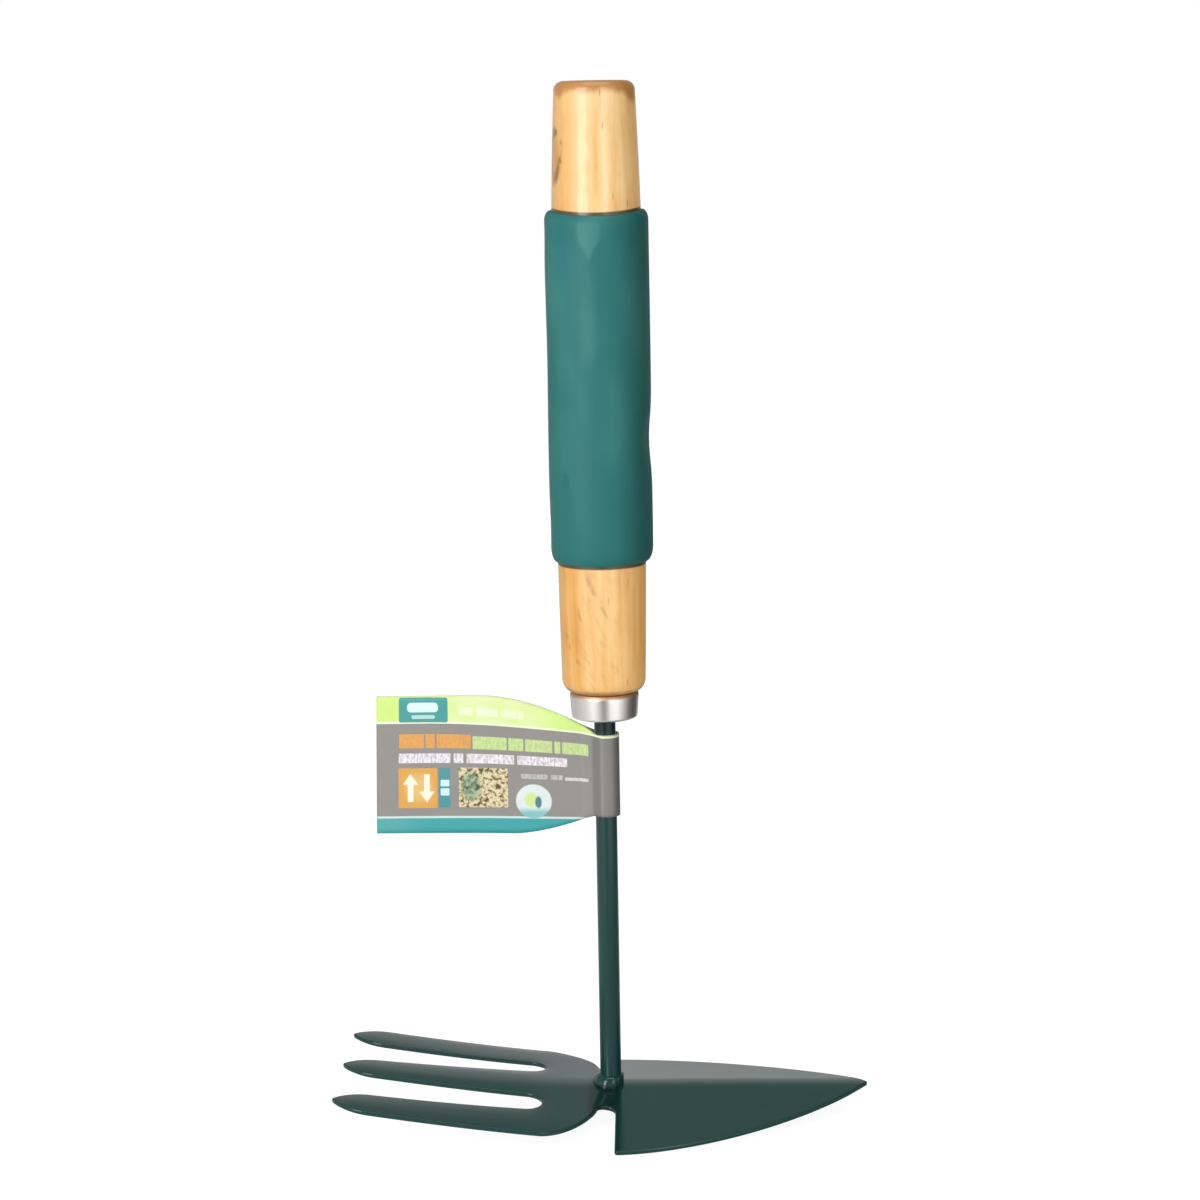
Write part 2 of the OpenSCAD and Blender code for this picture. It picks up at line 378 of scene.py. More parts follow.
def skinGroup():
    # Fine skin of a coat, foam or card: waves with small pits in them
    tree, given = newTree(
        "fineSkin", "ShaderNodeTree",
        [("Vector", "NodeSocketVector", None), ("Wave Size", "NodeSocketFloat", 500.0),
         ("Pit Size", "NodeSocketFloat", 2500.0), ("Pit Depth", "NodeSocketFloat", 0.3)],
        [("Height", "NodeSocketFloat")])
    wave = noise(tree, given["Vector"], given["Wave Size"], 2.0)
    pits = node(tree, "ShaderNodeTexVoronoi", Vector=given["Vector"], Scale=given["Pit Size"])
    deep = pits.fall(0.0, 0.42)
    closeTree(tree, Height=wave - deep * given["Pit Depth"])
    return tree


mottle = mottleGroup()
fineSkin = skinGroup()

grip = {
    "start": 37.0, "length": 96.8, "radius": 14.25, "rim": 1.7, "upperRim": 3.0, "lowerRim": 4.2,
    "bore": 0.1, "lift": 0.5, "dip": 1.5, "skinFrom": 12.75, "skinDeep": 1.2,
    "dents": (
        # azimuth in degrees from the hoe's side, height over the floor, depth, spans round and up
        (-13, 192.8, 1.3, 24, 7.0),
        (-131, 183, 0.22, 7, 2.6),
        (-118, 226, 0.16, 22, 26.0),
        (-72, 205, 0.10, 26, 34.0),
        (150, 214, 0.5, 34, 16.0),
        (60, 178, 0.35, 30, 14.0),
        (-175, 168, 0.22, 40, 8.0),
        (180, 250, 0.18, 34, 6.0),
    ),
}

wood = {
    "streaks": ((0.26, srgb(212, 156, 86)), (0.4, srgb(236, 185, 115)), (0.5, srgb(243, 199, 134)),
                (0.62, srgb(248, 211, 153)), (0.76, srgb(252, 224, 176))),
    "pore": srgb(150, 96, 42),
    "fleck": srgb(164, 120, 62),
    # darker wood round the knot, and painted shade just over the ferrule
    "knotAndFootShade": srgb(150, 92, 38),
    # painted shade along the foam's rims
    "rimShade": srgb(62, 48, 22),
    "knotRing": srgb(120, 78, 34),
    "buttBand": srgb(178, 116, 44),
    # painted shade on the flanks, and a deeper tone low down
    "flankShadeAndLowTint": (0.97, 0.78, 0.46, 1),
    "rimLines": (159.3, 256.0),
    "knot": {"turn": -160.0, "height": 270.2, "tall": 6.6, "wide": 3.6},
}


def woodFinish():
    made, tree, shader, at = newFinish(
        "varnishedWood", Roughness=0.42, Coat_Weight=0.55, Coat_Roughness=0.16)
    x, y, height = apart(tree, at)
    high = height * (1 / mm)
    # A knot high on the handle pushes the grain aside
    knot = wood["knot"]
    side = radians(knot["turn"])
    across = (x * -sin(side) + y * cos(side)) * (1 / mm)
    facing = (x * cos(side) + y * sin(side)).step(0.0, 0.002)
    kx, kz = across / knot["wide"], (high - knot["height"]) / knot["tall"]
    wobble = noise(tree, at, 420.0, 2.0) - 0.5
    knotFar = (kx * kx + kz * kz).math("SQRT") + wobble * 0.5
    near = knotFar.fall(0.6, 2.2) * facing
    # The grain runs along the handle and wanders a little sideways
    drift = noise(tree, stretch(tree, at, 30, 30, 14), 1.0, 2.0)
    bend = near * across * 0.0004
    lean = together(tree, (drift - 0.5) * 0.006 - bend * sin(side),
                    (drift - 0.5) * -0.005 + bend * cos(side))
    grainAt = vectorMath(tree, "ADD", at, lean)
    broad = noise(tree, stretch(tree, grainAt, 260, 260, 13), 1.0, 2.0)
    narrow = noise(tree, stretch(tree, grainAt, 760, 760, 34), 1.0, 3.0)
    fibre = noise(tree, stretch(tree, grainAt, 4200, 4200, 110), 1.0, 2.0)
    cloud = noise(tree, stretch(tree, at, 160, 160, 90), 1.0, 3.0)
    streak = broad * 0.46 + narrow * 0.2 + fibre * 0.08 + cloud * 0.26
    colour = ramp(tree, (streak - 0.5) * 1.25 + 0.51, wood["streaks"])
    # Painted shade: the wood is deeper on both flanks, where the light falls off, and paler through
    # the middle of the blank; it is also deeper low down
    flank = (x * (1 / mm / 12) - 0.14).size() + (broad - 0.5) * 0.35 + (cloud - 0.5) * 0.2
    low = high.step(128.0, 200.0, 0.5, 0.0)
    deep = (flank.step(0.4, 0.95) * 0.85 + low).math("MINIMUM", 1.0)
    tint = blended(tree, deep, (1, 1, 1, 1), wood["flankShadeAndLowTint"])
    colour = vectorMath(tree, "MULTIPLY", colour, tint)
    cells = node(tree, "ShaderNodeTexVoronoi", Vector=stretch(tree, grainAt, 620, 620, 120),
                 Scale=1.0, Randomness=1.0)
    pore = cells.fall(0.05, 0.2)
    patch = noise(tree, stretch(tree, at, 120, 120, 45), 1.0, 1.0).step(0.5, 0.64)
    colour = blended(tree, pore * patch * 0.55, colour, wood["pore"])
    # Short slanting flecks, most of them on the lower end
    slope = radians(28)
    along = together(tree, x * cos(slope) + height * sin(slope), y,
                     height * cos(slope) - x * sin(slope))
    fleck = noise(tree, stretch(tree, along, 520, 360, 150), 1.0, 2.0, Distortion=0.15)
    place = noise(tree, stretch(tree, at, 95, 95, 70), 1.0, 1.0).step(0.42, 0.6)
    fleck = fleck.step(0.5, 0.8) * place * high.step(150.0, 185.0, 0.62, 0.14)
    colour = blended(tree, fleck, colour, wood["fleck"])
    broken = noise(tree, at, 260.0, 2.0).step(0.4, 0.58)
    ringMark = (knotFar - 0.95).size().fall(0.05, 0.42) * broken
    colour = blended(tree, knotFar.step(0.6, 1.3, 0.35, 0.0) * facing, colour, wood["knotAndFootShade"])
    colour = blended(tree, ringMark * facing * 0.8, colour, wood["knotRing"])
    # Painted light: the wood is a little paler towards the hoe's side
    shade = useGroup(tree, mottle, Vector=at, Size=40.0, Amount=0.05) * (x * 10.0 + 1.0)
    colour = scaled(tree, colour, shade)
    # The wood is darker in a ragged band at the butt's edge
    uneven = noise(tree, stretch(tree, at, 150, 150, 60), 1.0, 2.0) - 0.5
    ragged = high + uneven * 7.0 + x.step(0.004, 0.012) * 2.2
    butt = ragged.step(shoulderHeight + 163.4, shoulderHeight + 166.2)
    colour = blended(tree, butt * 0.85, colour, wood["buttBand"])
    # Painted shade on the wood just over the ferrule
    foot = (high + uneven * 2.0).fall(shoulderHeight + 1.3, shoulderHeight + 3.0)
    colour = blended(tree, foot * 0.8, colour, wood["knotAndFootShade"])
    # Painted shade: thin dark lines on the wood along both rims of the foam, where the sleeve meets
    # it
    front = (y * (-1 / mm / 14)).clamp() ** 1.5
    lower, upper = wood["rimLines"]
    rims = (high + front * grip["dip"] - upper).size().fall(0.25, 0.7)
    rims = rims.math("MAXIMUM", (high - lower).size().fall(0.6, 1.0))
    colour = blended(tree, rims * 0.95, colour, wood["rimShade"])
    feed(tree, shader.inputs["Base Color"], colour)
    relief = fibre * 0.4 + narrow * 0.3 - pore * patch * 0.8
    feed(tree, shader.inputs["Normal"], bumped(tree, relief, 0.35, 0.00006))
    feed(tree, shader.inputs["Roughness"], fibre * 0.12 + 0.36)
    return made


# The pale colour serves for random paler tone and for painted highlights
foam = {"colour": srgb(36, 110, 106), "paleToneAndHighlight": srgb(80, 146, 141), "cool": srgb(44, 112, 120),
        # painted shade in a dent
        "dentShade": srgb(24, 88, 86)}


def foamFinish():
    made, tree, shader, at = newFinish(
        "tealFoam", Roughness=0.55, Specular_IOR_Level=0.25)
    x, y, z = apart(tree, at)
    turn = x.math("ARCTAN2", y * -1.0) * (180 / pi)
    high = z * (1 / mm)
    shade = useGroup(tree, mottle, Vector=at, Size=90.0, Amount=0.07)
    cloud = noise(tree, stretch(tree, at, 60, 60, 25), 1.0, 2.0).step(0.45, 0.75)
    colour = blended(tree, cloud * 0.25, foam["colour"], foam["paleToneAndHighlight"])
    # Painted highlights: a pale wedge under the upper rim and a soft streak below it; and a cooler
    # side
    wavy = (noise(tree, at, 300.0, 2.0) - 0.5) * 5.0
    wedge = high.step(241.5, 249.5, 0.0, 13.0) * high.step(252.0, 254.5, 1.0, 0.85)
    pale = (turn + 8.0 + wavy).size() - wedge
    pale = pale.fall(-3.0, 2.0) * high.step(241.0, 244.0)
    pale = pale * high.step(252.0, 253.5, 1.0, 0.3)
    soft = (turn + 10.0 + wavy).size().fall(4.0, 13.0)
    soft = soft * high.step(212.0, 219.0) * high.fall(228.0, 243.0)
    colour = blended(tree, pale.math("MAXIMUM", soft * 0.45) * 0.4, colour, foam["paleToneAndHighlight"])
    cool = (turn + 38.0).size().fall(4.0, 20.0) * (high - 243.0).size().fall(2.0, 11.0)
    colour = blended(tree, cool * 0.6, colour, foam["cool"])
    # Painted shade in the dent on the lower front, away from the hoe
    around, above = turn + 41.0, high - 183.0
    dentShade = (around * around * 0.06 + above * above * 0.35).fall(0.4, 2.4)
    colour = blended(tree, dentShade * 0.35, colour, foam["dentShade"])
    # Painted shade: both sides are a little darker, the hoe's side most
    shade = shade * (turn - 80.0).size().step(15.0, 75.0, 0.7, 1.0)
    shade = shade * (turn + 95.0).size().step(10.0, 50.0, 0.85, 1.0)
    feed(tree, shader.inputs["Base Color"], scaled(tree, colour, shade))
    skin = useGroup(tree, fineSkin, Vector=at, Wave_Size=380.0, Pit_Size=3000.0, Pit_Depth=0.45)
    feed(tree, shader.inputs["Normal"], bumped(tree, skin, 0.5, 0.00005))
    feed(tree, shader.inputs["Roughness"], skin * 0.12 + 0.46)
    return made


enamel = {"colour": (0.006, 0.048, 0.044), "neckShade": 0.5}


def enamelFinish():
    made, tree, shader, at = newFinish(
        "darkGreenEnamel", Roughness=0.16, Specular_IOR_Level=0.5)
    shade = useGroup(tree, mottle, Vector=at, Size=140.0, Amount=0.08)
    x, _, height = [w * (1 / mm) for w in apart(tree, at)]
    # Less light reaches the short bare length under the ferrule
    shade = shade * height.step(ferruleHeight - 5.5, ferruleHeight - 3.0, 1.0, 0.3)
    # The neck and the heel's edges are shaded by the plates on both sides
    onNeck = (x + 1.6).size().fall(3.4, 5.4) * height.fall(7.6, 8.4)
    shade = shade * (onNeck * -enamel["neckShade"] + 1.0)
    feed(tree, shader.inputs["Base Color"], scaled(tree, enamel["colour"], shade))
    skin = useGroup(tree, fineSkin, Vector=at, Wave_Size=420.0, Pit_Size=1500.0, Pit_Depth=0.05)
    feed(tree, shader.inputs["Normal"], bumped(tree, skin, 0.12, 0.00004))
    feed(tree, shader.inputs["Roughness"], noise(tree, at, 700.0, 2.0) * 0.06 + 0.12)
    return made


# The lip colour is a painted reflection of the wood above
steel = {"colour": (0.93, 0.915, 0.9, 1), "lip": srgb(206, 166, 126)}


def brightFinish():
    made, tree, shader, at = newFinish("brightPlate", Metallic=1.0, Roughness=0.12)
    shade = useGroup(tree, mottle, Vector=at, Size=900.0, Amount=0.03)
    # Painted reflection: the rolled lip is tinted with the wood's brown, as if it mirrored the
    # handle above, and is rougher
    lip = apart(tree, at)[2].step((ferruleHeight + 6.0) * mm, (ferruleHeight + 6.9) * mm)
    plate = blended(tree, lip, steel["colour"], steel["lip"])
    feed(tree, shader.inputs["Base Color"], scaled(tree, plate, shade))
    # Fine rings left by the drawing die
    ringLines = noise(tree, stretch(tree, at, 60, 60, 9000), 1.0, 1.0)
    feed(tree, shader.inputs["Normal"], bumped(tree, ringLines, 0.06, 0.00003))
    feed(tree, shader.inputs["Roughness"], ringLines * 0.06 + lip * 0.4 + 0.1)
    return made


varnishedWood = woodFinish()
tealFoam = foamFinish()
darkGreenEnamel = enamelFinish()
brightPlate = brightFinish()


# Handle

handle = {
    "length": 168.2, "belly": 12.65, "bellyHeight": 95.0, "shoulder": 11.6, "butt": 10.9,
    "shoulderRound": 4.4, "buttRound": 2.6, "noseRadius": 7.9, "noseLength": 5.98,
    "foot": 0.9, "footRadius": 9.2,
}


def barrel(z):
    # Radius of the bare handle at a height over its shoulder
    middle = handle["bellyHeight"]
    if z < middle:
        end, t = handle["shoulder"], (middle - z) / middle
    else:
        end, t = handle["butt"], (z - middle) / (handle["length"] - middle)
    return handle["belly"] - (handle["belly"] - end) * t * t


def makeHandle():
    low, high = handle["shoulderRound"], handle["length"] - handle["buttRound"]
    foot, start = barrel(low) - handle["footRadius"], handle["foot"]
    edge = barrel(high) - handle["buttRound"]
    points = [(0, -handle["noseLength"]), (handle["noseRadius"], -handle["noseLength"]),
              (handle["noseRadius"], start)]
    points += [(handle["footRadius"] + foot * cos(radians(a)),
                low + (low - start) * sin(radians(a))) for a in spread(-90, 0, 14)]
    points += [(barrel(z), z) for z in spread(low, high, 84)[1:-1]]
    points += arcPoints((edge, high), handle["buttRound"], 0, 90, 12)
    points += [(edge * t, handle["length"]) for t in (0.66, 0.33, 0)]
    made = turned("turned_handle", [(r, z + shoulderHeight) for r, z in points], varnishedWood, 160)
    finishPiece(made, "tool", "handle_wood", "handle")


makeHandle()


# Foam grip: a sleeve that bulges and dents a little

def makeGrip():
    low, high = grip["start"] + grip["lift"], grip["start"] + grip["length"]
    points = [(barrel(z) + grip["bore"], z) for z in spread(high, low, 24)]
    wide, under, over = (grip[k] for k in ("rim", "lowerRim", "upperRim"))
    rim = arcPoints((0, 0), 1, -90, 0, 12)
    points += [(grip["radius"] - wide + wide * x, low + under + under * y) for x, y in rim]
    points += [(grip["radius"], z) for z in spread(low + under, high - over, 110)[1:-1]]
    points += [(grip["radius"] - wide + wide * x, high - over - over * y) for x, y in reversed(rim)]
    points.append(points[0])
    made = turned("foam_sleeve", [(r, z + shoulderHeight) for r, z in points], tealFoam, 176)
    for vertex in made.data.vertices:
        x, y, z = (c / mm for c in vertex.co)
        radius = hypot(x, y)
        skin = clamp01((radius - grip["skinFrom"]) / grip["skinDeep"])
        azimuth = atan2(y, x) * 180 / pi
        push = 0
        for around, height, depth, wide, tall in grip["dents"]:
            turn = (azimuth - around + 180) % 360 - 180
            push += depth * exp(-(turn / wide) ** 2 - ((z - height) / tall) ** 2)
        wave = 0.05 * sin(radians(3 * azimuth) + z / 17) + 0.04 * sin(radians(5 * azimuth) - z / 11)
        scale = (radius - skin * (push + wave)) / radius
        vertex.co.x *= scale
        vertex.co.y *= scale
        # The upper rim is cut a little aslant
        near = clamp01((z - shoulderHeight - high + 12) / 12)
        vertex.co.z -= grip["dip"] * clamp01(-y / 14) ** 1.5 * near * near * mm
    finishPiece(made, "tool", "grip_foam", "foam_grip")


makeGrip()


# Ferrule: a drawn cup with a hole in its floor

ferrule = {"radius": 9.65, "floorRadius": 9.25, "height": 7.6, "wall": 0.8, "edge": 0.7,
           "lip": 0.75, "lipTall": 1.5, "hole": 3.05}


def makeFerrule():
    top, low, h, t, e, lip, tall, hole = ferrule.values()
    points = [(hole, 0.15), (hole + 0.15, 0)]
    points += [(x, 0) for x in spread(hole + 0.15, low - e, 6)[1:-1]]
    points += arcPoints((low - e, e), e, -90, 0, 8)
    points += [(low + (top - low) * (z - e) / (h - tall - e), z)
               for z in spread(e, h - tall, 12)[1:-1]]
    points += [(top - lip + lip * x, h - tall + tall * y)
               for x, y in arcPoints((0, 0), 1, 0, 90, 10)]
    points += [(top - t, h - 0.1), (low - t, t), (hole, t), points[0]]
    made = turned("ferrule_cup", [(x, z + ferruleHeight) for x, z in points], brightPlate, 160)
    finishPiece(made, "tool", "bright_ferrule", "ferrule")


makeFerrule()


# Rod, with its tang inside the handle

def makeRod():
    top = foldHeight + rod["shown"] + rod["tang"]
    shaft = top - rod["point"]
    points = [(0, foldHeight - 0.75), (rod["radius"], foldHeight - 0.75)]
    points += [(rod["radius"], z) for z in spread(foldHeight - 0.75, shaft, 90)[1:]]
    points += [(rod["radius"] / 4, top - 0.4), (0, top)]
    made = turned("steel_rod", points, darkGreenEnamel, 96)
    finishPiece(made, "tool", "green_enamel", "rod")


makeRod()


# Head: one flat blank with rounded rims, pressed along its middle by a geometry tree

def hoeHalfAt(x):
    t = clamp01((x - head["heel"]) / (head["hoeReach"] - head["heel"]))
    return head["hoeHalf"] * (1 - t ** head["bladeFullness"]) ** head["bladePower"]


def shoulderAt(x):
    u = clamp01((x + head["gapEnd"]) / (head["gapEnd"] - head["notchBack"]))
    n = head["shoulderPower"]
    return head["neckHalf"] + (head["forkHalf"] - head["neckHalf"]) * (1 - u ** n) ** (1 / n)


def notchCorner():
    # Centre of the notch's rear corner and the place where it meets the shoulder
    n = head["notchRadius"]
    low, high = -head["notchBack"] - n, -head["notchBack"] + 3 * n
    for _ in range(30):
        centre = (low + high) / 2
        gap, touch = min((hypot(x - centre, shoulderAt(x) - head["neckHalf"] - n), x)
                         for x in spread(-head["notchBack"] - 4, -head["notchBack"] - 0.001, 400))
        low, high = (centre, high) if gap < n else (low, centre)
    lean = atan2(shoulderAt(touch) - head["neckHalf"] - n, touch - centre) * 180 / pi % 360 - 360
    return centre, touch, lean


def noseHalfAt(s):
    # Half width of a tine at a distance behind its tip
    t = clamp01(1 - s / head["tineNose"])
    return head["tineWidth"] / 2 * (1 - t * t) ** head["nosePower"]


def bluntEdge(halfAt, length, count):
    # (distance behind the tip, half width) from a rounded tip back to the given length
    radius = head["cornerRadius"]
    low, high = 0.0, 3 * radius
    for _ in range(30):
        centre = (low + high) / 2
        gap, touch = min((hypot(s - centre, halfAt(s)), s) for s in spread(0, 4 * radius, 240))
        low, high = (centre, high) if gap < radius else (low, centre)
    lean = atan2(halfAt(touch), centre - touch)
    tip = [(centre - radius * cos(a), radius * sin(a)) for a in spread(0, lean, 5)]
    behind = [touch + (length - touch) * t ** 1.5 for t in spread(0, 1, count)]
    return tip[:-1] + [(s, halfAt(s)) for s in behind]


def spaced(points, gap):
    # The same line with extra points, so that none of its steps is longer than gap
    kept = [points[0]]
    for p in points[1:]:
        if hypot(p[0] - kept[-1][0], p[1] - kept[-1][1]) > 0.14 or p == points[-1]:
            kept.append(p)
    line = [kept[0]]
    for a, b in zip(kept, kept[1:]):
        parts = max(1, ceil(hypot(b[0] - a[0], b[1] - a[1]) / gap))
        line += [(a[0] + (b[0] - a[0]) * i / parts, a[1] + (b[1] - a[1]) * i / parts)
                 for i in range(1, parts + 1)]
    return line


def blankOutline():
    # Right round the blank from the hoe's point, first along the side with positive y
    r, n = head["cornerRadius"], head["notchRadius"]
    heel, back, neck = head["heel"], -head["notchBack"], head["neckHalf"]
    noseBack = head["forkReach"] - head["tineNose"]
    gapX, gapR = -(head["gapEnd"] + head["gapWidth"] / 2), head["gapWidth"] / 2
    gapY = head["middleRoot"] / 2 + gapR
    outer = head["forkHalf"] - head["tineWidth"] / 2
    reach = head["hoeReach"]
    blade = bluntEdge(lambda s: hoeHalfAt(reach - s), reach - heel - r, 60)
    nose = bluntEdge(noseHalfAt, head["tineNose"], 22)
    side = [(reach - s, h) for s, h in blade]
    side += arcPoints((heel + r, side[-1][1] - r), r, 90, 180, 6)
    side += arcPoints((heel - n, neck + n), n, 0, -90, 8)
    cornerX, touch, lean = notchCorner()
    side += arcPoints((cornerX, neck + n), n, -90, lean, 8)
    shoulder = [-head["gapEnd"] + (head["gapEnd"] + back) * sin(radians(a))
                for a in spread(90, 0, 44)]
    side += [(x, shoulderAt(x)) for x in shoulder if x < touch - 0.05]
    side += [(-noseBack, head["forkHalf"])]
    side += [(-head["forkReach"] + s, outer + h) for s, h in reversed(nose[1:-1])]
    side += [(-head["forkReach"] + s, outer - h) for s, h in nose[:-1]]
    side += [(-noseBack, outer - head["tineWidth"] / 2)]
    side += arcPoints((gapX, gapY), gapR, 90, -90, 22)
    side += [(-head["forkReach"] + s, h) for s, h in reversed(nose)]
    side = spaced(side, 1.1)
    return side[:-1] + [(x, -y) for x, y in reversed(side)][:-1]


def inset(line, depth):
    # The closed outline moved inwards by a small depth
    moved = []
    for i, (x, y) in enumerate(line):
        ax, ay = line[i - 1]
        bx, by = line[(i + 1) % len(line)]
        before, after = atan2(y - ay, x - ax), atan2(by - y, bx - x)
        half = ((after - before + pi) % (2 * pi) - pi) / 2
        lean = before + half + pi / 2
        reach = depth / max(0.5, cos(half))
        moved.append((x + reach * cos(lean), y + reach * sin(lean)))
    return moved


def insidePoints(line):
    # Points of an even grid that lie well inside the outline, closer together near the fold
    tree = KDTree(len(line) * 4)
    for i, (x, y) in enumerate(line):
        bx, by = line[(i + 1) % len(line)]
        for k in range(4):
            tree.insert((x + (bx - x) * k / 4, y + (by - y) * k / 4, 0), i)
    tree.balance()
    rows = [0, 0.6, 1.2, 1.8, 2.4, 3.1, 3.9, 4.8, 5.9, 7.1]
    rows += [7.1 + 1.25 * i for i in range(1, 25)]
    points = []
    for y in [-v for v in rows[:0:-1]] + rows:
        for k in range(130):
            x = -head["forkReach"] + 1.2 * k
            near = tree.find((x, y, 0))
            a = line[near[1]]
            b = line[(near[1] + 1) % len(line)]
            left = (b[0] - a[0]) * (y - a[1]) - (b[1] - a[1]) * (x - a[0])
            if near[2] > 0.75 and left > 0:
                points.append((x, y))
    return points, tree


crown = {"rise": 0.34, "width": 6.0, "start": 10.0, "end": 26.0}
rimFlat = 0.33


def makeBlank():
    t, r = head["thickness"], head["edgeRadius"]
    outline = blankOutline()
    count = len(outline)
    field = inset(outline, r + rimFlat)
    inside, tree = insidePoints(field)
    flat = [Vector(p) for p in field + inside]
    places, _, triangles, _, _, _ = delaunay_2d_cdt(flat, [], [list(range(count))], 1, 1e-5)
    assert len(places) == len(flat), "the blank's points were merged"

    def crowned(x, depth):
        # The press leaves the tines a little higher along their middles
        share = clamp01((-x - crown["start"]) / (crown["end"] - crown["start"]))
        tip = clamp01((x + head["forkReach"]) / crown["width"])
        return crown["rise"] * share * tip * (1 - (1 - min(1, depth / crown["width"])) ** 2)
    top = [(x, y, crowned(x, tree.find((x, y, 0))[2] + r + rimFlat)) for x, y in places]
    verts = top + [(x, y, z - t) for x, y, z in top]
    faces = [tuple(f) for f in triangles]
    faces += [tuple(i + len(top) for i in reversed(f)) for f in triangles]
    rings = [list(range(count))]
    levels = [(r * (1 - sin(radians(a))), -r * (1 - cos(radians(a)))) for a in spread(0, 90, 4)]
    levels += [(depth, -t - drop) for depth, drop in reversed(levels)]
    for depth, drop in levels:
        rings.append([len(verts) + i for i in range(count)])
        verts += [(x, y, drop + crowned(x, depth)) for x, y in inset(outline, depth)]
    rings.append([len(top) + i for i in range(count)])
    for upper, lower in zip(rings, rings[1:]):
        faces += [(upper[i], lower[i], lower[(i + 1) % count], upper[(i + 1) % count])
                  for i in range(count)]
    mesh = bpy.data.meshes.new("folded_head")
    mesh.from_pydata([(x * mm, y * mm, z * mm) for x, y, z in verts], [], faces)
    return newObject("folded_head", mesh)


def pressTree():
    # Lifts the blank to a ridge that rises along the tines and falls to both sides
    sizes = [("Fold Height", foldHeight), ("Tine Rise", head["tineRise"]),
             ("Rise Start", head["riseStart"]), ("Rise Power", head["risePower"]),
             ("Fork Reach", head["forkReach"]),
             ("Hoe Reach", head["hoeReach"]), ("Hoe Droop", head["hoeDroop"]),
             ("Heel", head["heel"]), ("Ease Length", head["easeLength"]),
             ("Fold Angle", head["hoeFold"]), ("Fork Ease", head["forkEase"]),
             ("Tip Ease", head["tipEase"]), ("Bend Half", head["bendHalf"])]
    tree, given = newTree(
        "pressFold", "GeometryNodeTree",
        [("Geometry", "NodeSocketGeometry", None)]
        + [(label, "NodeSocketFloat", value) for label, value in sizes]
        + [("Finish", "NodeSocketMaterial", None)],
        [("Geometry", "NodeSocketGeometry")])
    x, y, _ = [w * (1 / mm) for w in apart(tree, node(tree, "GeometryNodeInputPosition"))]
    back = x * -1.0
    rise = ((back - given["Rise Start"]) / (given["Fork Reach"] - given["Rise Start"])).clamp()
    droop = ((x - given["Heel"]) / (given["Hoe Reach"] - given["Heel"])).clamp()
    line = given["Fold Height"] + rise ** given["Rise Power"] * given["Tine Rise"]
    line = line - droop * droop * given["Hoe Droop"]
    easeEnd = given["Ease Length"] - given["Heel"]
    first = ((back + given["Heel"]) / given["Ease Length"]).clamp()
    then = ((back - easeEnd) / (given["Fork Reach"] - easeEnd)).clamp()
    share = first * (given["Fork Ease"] - 1.0) + 1.0
    share = share + then * (given["Tip Ease"] - given["Fork Ease"])
    slope = (share * given["Fold Angle"] * (pi / 180)).math("TANGENT")
    away = y.size()
    near = away.math("MINIMUM", given["Bend Half"])
    bend = given["Bend Half"]
    soft = away - near + (near * near + bend * bend) / (bend * 2.0)
    lift = together(tree, z=(line - soft * slope) * mm)
    moved = node(tree, "GeometryNodeSetPosition", Geometry=given["Geometry"], Offset=lift)
    return closeShape(tree, moved, given["Finish"])


def makeHead():
    made = makeBlank()
    grow(made, pressTree(), Finish=darkGreenEnamel)
    faceOut(made)
    weigh = made.modifiers.new("evenNormals", "WEIGHTED_NORMAL")
    weigh.weight = 60
    bake(made)
    finishPiece(made, "tool", "green_enamel", "fork_hoe_head")


makeHead()


# Weld bead: a ring of small overlapping drops that follows the ridge

weld = {"height": 2.7, "width": 1.75, "drops": 11, "ripple": 0.09, "lean": 0.55}


def ridgeDrop(x, y):
    # How far the sheet lies under the fold's sharp line beside the rod
    w = head["bendHalf"]
    near = min(abs(y), w)
    share = 1 - (1 - head["forkEase"]) * clamp01((head["heel"] - x) / head["easeLength"])
    return (abs(y) - near + (near * near + w * w) / (2 * w)) * tan(radians(head["hoeFold"] * share))


def makeBead():
    inner = rod["radius"] - 0.25
    points = [(inner, -0.4), (inner, weld["height"])]
    arc = arcPoints((0, 0), 1, 90, 0, 12)
    points += [(rod["radius"] + weld["width"] * x, weld["height"] * y) for x, y in arc]
    points += [(rod["radius"] + weld["width"], -0.4), points[0]]
    made = turned("weld_ring", points, darkGreenEnamel, 132)
    for vertex in made.data.vertices:
        x, y, z = (c / mm for c in vertex.co)
        radius, azimuth = hypot(x, y), atan2(y, x)
        out = clamp01((radius - rod["radius"]) / weld["width"])
        radius += (radius - rod["radius"]) * out * (weld["lean"] * -cos(azimuth) - 0.2)
        lobe = abs(sin(azimuth * weld["drops"] / 2 + 0.6 * sin(azimuth * 2 + 1)))
        swell = weld["ripple"] * (lobe - 0.6) + 0.16 * sin(azimuth + 2.2) + 0.08 * sin(3 * azimuth)
        radius += swell * out * 1.6
        z += swell * out * (1 if z > 0 else 0)
        level = ridgeDrop(0, 0)
        tilt = clamp01(1 - z / weld["height"])
        level += (ridgeDrop(radius * cos(azimuth), radius * sin(azimuth)) - level) * tilt
        place = (radius * cos(azimuth), radius * sin(azimuth), foldHeight - level + z)
        vertex.co = [c * mm for c in place]
    finishPiece(made, "tool", "green_enamel", "weld_bead")


makeBead()


# Hang tag: one strip of card round the rod, its two halves together as a flag

tag = {
    "card": 0.35, "reach": 65.3, "height": 39.8, "wrap": 23.5, "top": ferruleHeight - 4.8,
    "drop": 5.8, "upper": 35.0, "upperPower": 1.8, "lower": 26.0, "lowerPower": 1.6,
    "rise": 2.2, "meet": 5.6, "turn": 5.0, "bore": 3.05, "slack": 0.3, "shift": 0.25,
    "sag": 4.2, "droop": 0.5, "splay": 0.016,
}


